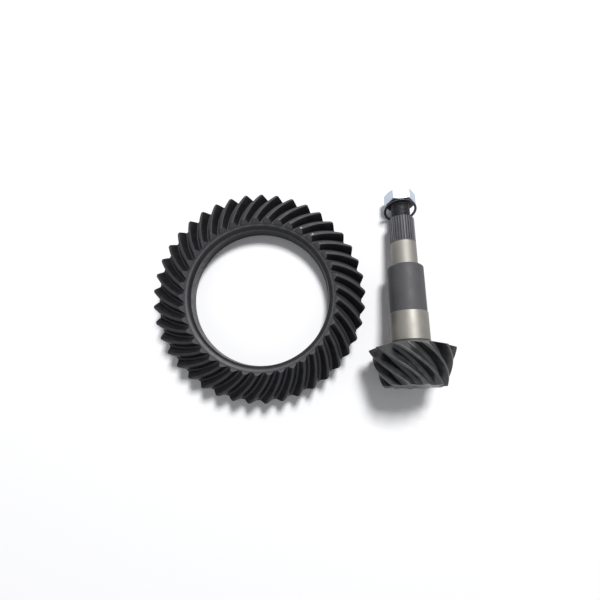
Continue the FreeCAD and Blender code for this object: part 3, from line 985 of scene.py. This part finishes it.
    def dress(self) -> None:
        """Make the three pieces."""
        sizes, place = self.sizes, self.lay.matrix()
        head = Piece("pinion_head_and_shaft", self.head(), [HEAD_PHOSPHATE, BACK_CONE, GROUND, TURNED],
                     Body.GEARS, "pinion", "pinion_steel")
        head.make(place, self.zone, self.wear_and_highlight)
        end = Piece("pinion_splined_end", self.splined_end(), [GROUND, ROLLED],
                    Body.GEARS, "pinion", "pinion_steel")
        end.make(place, lambda radius, height: int(height > sizes.spline_start - 0.2),
                 lambda point: float(point.xy.length > sizes.spline - 0.1))
        thread = Piece("pinion_thread", self.thread(), [ROLLED], Body.GEARS, "pinion", "pinion_steel")
        thread.make(place)


# Nut and spacer ring
@dataclass(frozen=True)
class NutSizes:
    """The nut's sizes."""

    flats: float = 33.34
    height: float = 15.0
    face: float = 15.6
    corner_angle: float = 30.0
    corner_round: float = 0.2
    bore: float = 11.15
    thread_root: float = 11.7
    pitch: float = 25.4 / 14


class Nut:
    """The hexagon nut."""

    def __init__(self, sizes: NutSizes, lay: Lay) -> None:
        """Keep the sizes."""
        self.sizes, self.lay = sizes, lay

    def build(self) -> Skin:
        """Grow one flat from the bore over its coned ends and side, and repeat it."""
        sizes = self.sizes
        columns = 16
        angles = [math.radians(60 * column / columns) for column in range(columns + 1)]
        reaches = [sizes.flats / 2 / math.cos(angle - math.pi / 6) for angle in angles]
        corner = sizes.flats / 2 / math.cos(math.pi / 6) - sizes.corner_round
        reaches = [min(reach, corner) for reach in reaches]
        fall = math.tan(math.radians(sizes.corner_angle))
        mouth = sizes.thread_root + 0.3
        skin = Skin()
        turned = [(sizes.thread_root, 0.6), (mouth, 0.0), (sizes.face - 0.2, 0.0), (sizes.face, 0.05)]
        skin.grow_turned(turned, angles)
        for side in (0, 1):
            for share in ((0.5, 0.97, 1.0), (1.0, 0.97, 0.5))[side]:
                row = []
                for reach, angle in zip(reaches, angles):
                    radius = lerp(sizes.face, reach, share)
                    drop = (radius - sizes.face) * fall + (0.05 if share < 1 else 0.12)
                    row.append(polar(radius, sizes.height - drop if side else drop, angle))
                skin.grow(row)
        skin.grow_turned([(radius, sizes.height - height) for radius, height in turned[::-1]], angles)
        skin.repeat(6)
        Thread(sizes.bore, sizes.thread_root, sizes.pitch, 0.6, sizes.height - 0.6, per_turn=96).cut(skin)
        return skin

    def dress(self) -> None:
        """Make the piece, with painted shade on the end that faces the splines and in its bore."""
        sizes = self.sizes
        bore = sizes.thread_root + 0.1
        piece = Piece("nut_zinc", self.build(), [ZINC, ZINC_PAINTED_SHADE], Body.NUT, "pinion_nut", "nut_steel")
        # The end facing the splines and the bore take the darker zinc: painted shade
        piece.make(self.lay.matrix(), lambda radius, height: int(height < 0.9 or radius < bore))


@dataclass(frozen=True)
class SpacerSizes:
    """The loose ring's sizes."""

    outer: float = 20.0
    inner: float = 17.0
    thickness: float = 2.2
    edge: float = 0.65


class Spacer:
    """The loose ring leaning on the nut."""

    def __init__(self, sizes: SpacerSizes, lay: Lay) -> None:
        """Keep the sizes."""
        self.sizes, self.lay = sizes, lay

    def dress(self) -> None:
        """Turn the rounded section and make the piece."""
        sizes, half = self.sizes, self.sizes.thickness / 2
        middle = (sizes.inner + sizes.outer) / 2
        outline = rounded([
            Corner(middle, -half),
            Corner(sizes.outer, -half, sizes.edge),
            Corner(sizes.outer, half, sizes.edge),
            Corner(sizes.inner, half, sizes.edge),
            Corner(sizes.inner, -half, sizes.edge),
            Corner(middle, -half),
        ], 4)
        skin = Skin()
        skin.lathe(outline[:-1], 128, closed=True)
        piece = Piece("spacer_ring_dark", skin, [OILED_PAINTED_HIGHLIGHT], Body.SPACER, "spacer_ring", "spacer_steel")
        # The outer rim's edges take the lighter grey: a painted highlight line round the ring
        piece.make(self.lay.matrix(), wear_and_highlight=lambda point: float(point.xy.length > sizes.outer - 0.2))


# Studio
@dataclass(frozen=True)
class Lamp:
    """A square soft light: where it is, what it points at, its side and its power."""

    name: str
    place: tuple[float, float, float]
    target: tuple[float, float, float]
    side: float
    power: float

    def make(self) -> None:
        """Hang the lamp."""
        data = bpy.data.lights.new(self.name, "AREA")
        data.shape = "SQUARE"
        data.size = self.side
        data.energy = self.power
        lamp = bpy.data.objects.new(self.name, data)
        lamp.location = self.place
        aim = Vector(self.target) - Vector(self.place)
        lamp.rotation_mode = "QUATERNION"
        lamp.rotation_quaternion = aim.to_track_quat("-Z", "Y")
        bpy.context.scene.collection.objects.link(lamp)


LAMPS = (
    Lamp("key", (0.65, 1.85, 3.4), (0.05, 0.0, 0.0), 0.9, 142.0),
)
# The room's brightness as light on things, and as seen by the camera or mirrored
ROOM_LIGHT, ROOM_SEEN = 0.32, 0.9


class Studio:
    """The white table, the lamps, the pale surroundings and the camera."""

    def floor(self) -> None:
        """Lay the table: white to the camera, and it keeps the shadows."""
        mesh = bmesh.new()
        bmesh.ops.create_grid(mesh, x_segments=1, y_segments=1, size=4.0)
        data = bpy.data.meshes.new("table")
        mesh.to_mesh(data)
        mesh.free()
        nodes = Surface("table_white")
        nodes.shader.inputs["Roughness"].default_value = 0.9
        nodes.shader.inputs["Specular IOR Level"].default_value = 0.1
        white = nodes.mix(nodes.seen(), (0.8, 0.8, 0.8, 1), (0.97, 0.97, 0.985, 1))
        nodes.link(white, nodes.shader.inputs["Base Color"])
        data.materials.append(nodes.material)
        table = bpy.data.objects.new("table", data)
        bpy.context.scene.collection.objects.link(table)

    def surroundings(self) -> None:
        """Light the room evenly from all round."""
        world = bpy.data.worlds.new("white_room")
        world.use_nodes = True
        nodes = Nodes(world.node_tree)
        strength = nodes.add("ShaderNodeMapRange", {
            "Value": nodes.seen(), "To Min": ROOM_LIGHT, "To Max": ROOM_SEEN}).outputs["Result"]
        room = nodes.add("ShaderNodeBackground", {"Color": (0.97, 0.98, 1.0, 1), "Strength": strength})
        nodes.add("ShaderNodeOutputWorld", {"Surface": room.outputs[0]})
        bpy.context.scene.world = world

    def camera(self) -> None:
        """Stand the camera where the photograph was taken from."""
        data = bpy.data.cameras.new("camera")
        data.lens = 24.0
        data.sensor_width = 36.0
        data.clip_end = 20.0
        camera = bpy.data.objects.new("camera", data)
        down = Vector((0, 0.1435, -0.98965)).normalized()
        up = Vector((1, 0, 0)).cross(down)
        turn = Matrix((Vector((1, 0, 0)), up, -down)).transposed()
        camera.matrix_world = Matrix.Translation(Vector((47.2, -72.5, 493.0)) * MM) @ turn.to_4x4()
        bpy.context.scene.collection.objects.link(camera)
        bpy.context.scene.camera = camera

    def set_up(self) -> None:
        """Set up the whole studio."""
        self.floor()
        self.surroundings()
        for lamp in LAMPS:
            lamp.make()
        self.camera()
        bpy.context.scene.view_settings.view_transform = "Standard"


def main() -> None:
    """Build the set in order, then the studio."""
    logging.basicConfig(level=logging.INFO, format="%(message)s")
    Studio().set_up()
    RingGear(RingSizes()).dress()
    Pinion(PinionSizes(), Lay()).dress()
    Nut(NutSizes(), Lay((171.1, 114.26372, 19.53709), turn=-8.0)).dress()
    Spacer(SpacerSizes(), Lay((171.1, 108.23524, 18.76844), slope=22.0)).dress()


if __name__ == "__main__":
    main()
